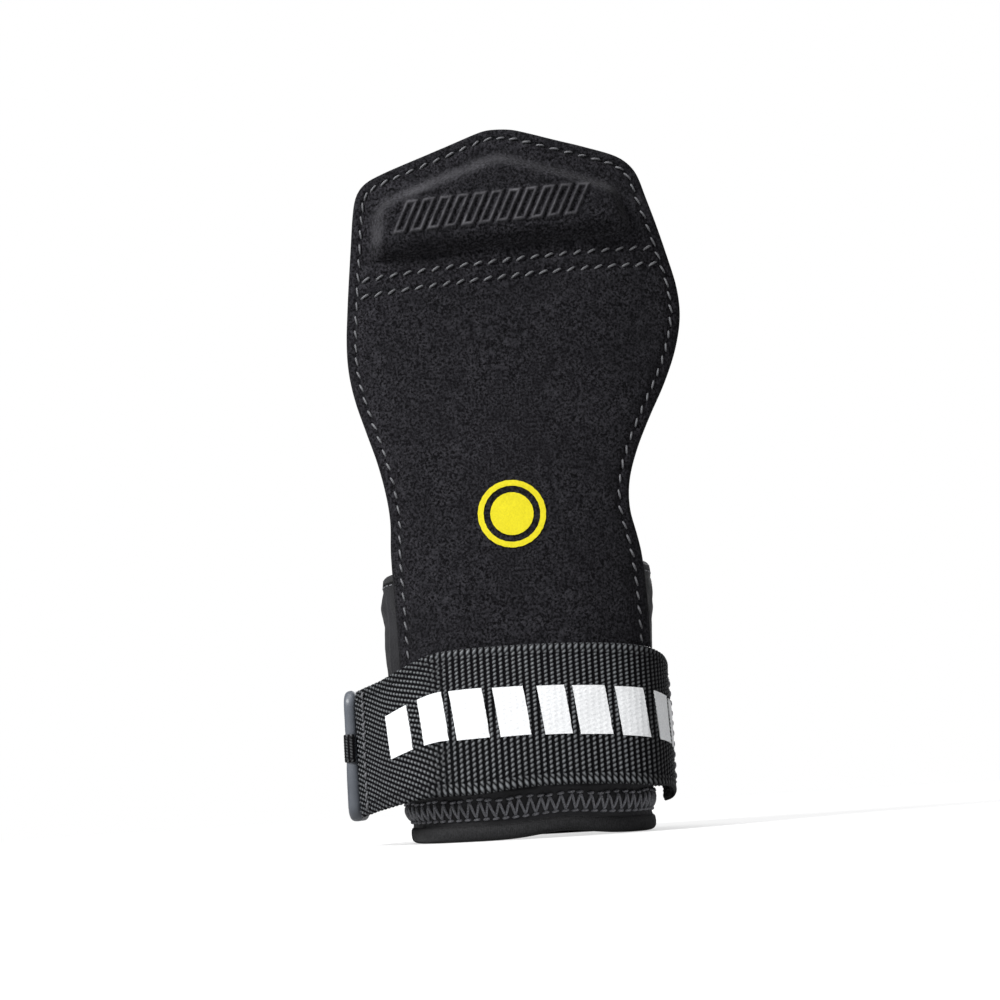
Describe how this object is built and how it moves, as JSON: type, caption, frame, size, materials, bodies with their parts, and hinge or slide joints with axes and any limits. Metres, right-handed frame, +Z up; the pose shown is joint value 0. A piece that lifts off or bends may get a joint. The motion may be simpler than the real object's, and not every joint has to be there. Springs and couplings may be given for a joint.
{
  "type": "palm grip",
  "caption": "Palm grip with a contoured suede pad, padded finger ridge, padded wrist cuff, webbing strap with ring and hook-and-loop closure.",
  "frame": {"origin": "on the plane of the cuff's lower rim, under the middle of the object's box, which is the axis of the wrist opening to within 5 mm", "axes": "+Z up the wrist towards the fingers, -Y the outer face of the palm pad, +X to the right of a viewer facing that side; the ring is on the -X side"},
  "size_m": [0.1107, 0.0812, 0.2118],
  "materials": {
    "cuff_cover": "smooth matte synthetic leather",
    "foam": "closed-cell foam",
    "lining": "brushed knit",
    "binding": "folded woven tape",
    "suede": "napped suede",
    "backing": "smooth split leather",
    "stiffener": "foam sheet",
    "webbing": "ribbed nylon webbing",
    "closure_webbing": "flat nylon webbing",
    "hook_loop": "hook-and-loop pile",
    "thread": "twisted polyester thread",
    "white_print": "heat-transferred print",
    "yellow_print": "heat-transferred print",
    "ring_plastic": "satin moulded plastic",
    "tab_rubber": "moulded ribbed rubber"
  },
  "bodies": {
    "cuff": {"cuff_cover": "cuff_cover", "cuff_foam": "foam", "cuff_lining": "lining", "cuff_binding_top": "binding", "cuff_binding_bottom": "binding", "cuff_cover_stitch": "thread", "palm_root_face": "suede", "palm_root_back": "backing", "palm_root_stitch": "thread", "front_strap": "webbing", "strap_print": "white_print", "strap_anchor_stitch": "thread", "ring_tab": "closure_webbing", "ring_tab_stitch": "thread", "closure_strap": "closure_webbing", "loop_patch": "hook_loop", "loop_patch_stitch": "thread"},
    "ring": {"ring": "ring_plastic"},
    "tail": {"closure_tail": "closure_webbing", "hook_patch": "hook_loop", "hook_patch_stitch": "thread", "pull_tab": "tab_rubber"},
    "palm": {"palm_face": "suede", "palm_core": "stiffener", "palm_back": "backing", "palm_edge_stitch": "thread", "palm_emblem": "yellow_print", "ridge_seam_lower": "thread"},
    "finger": {"finger_face": "suede", "ridge_insert": "stiffener", "finger_back": "backing", "finger_edge_stitch": "thread", "ridge_seam_upper": "thread"}
  },
  "joints": [
    {"name": "palm_fold", "type": "hinge", "parent": "cuff", "child": "palm", "pos_m": [0, -0.02929, 0.0845], "axis": [1, 0, 0], "range_deg": [-20, 100]},
    {"name": "finger_curl", "type": "hinge", "parent": "palm", "child": "finger", "pos_m": [0, -0.02992, 0.1696], "axis": [0.9978, 0, 0.0659], "range_deg": [-15, 95]},
    {"name": "ring_swing", "type": "hinge", "parent": "cuff", "child": "ring", "pos_m": [-0.0534, -0.0013, 0.0288], "axis": [0, 0, 1], "range_deg": [0, 30]},
    {"name": "tail_peel", "type": "hinge", "parent": "ring", "child": "tail", "pos_m": [-0.052, 0.01414, 0.0288], "axis": [0, 0, 1], "range_deg": [0, 100]}
  ]
}
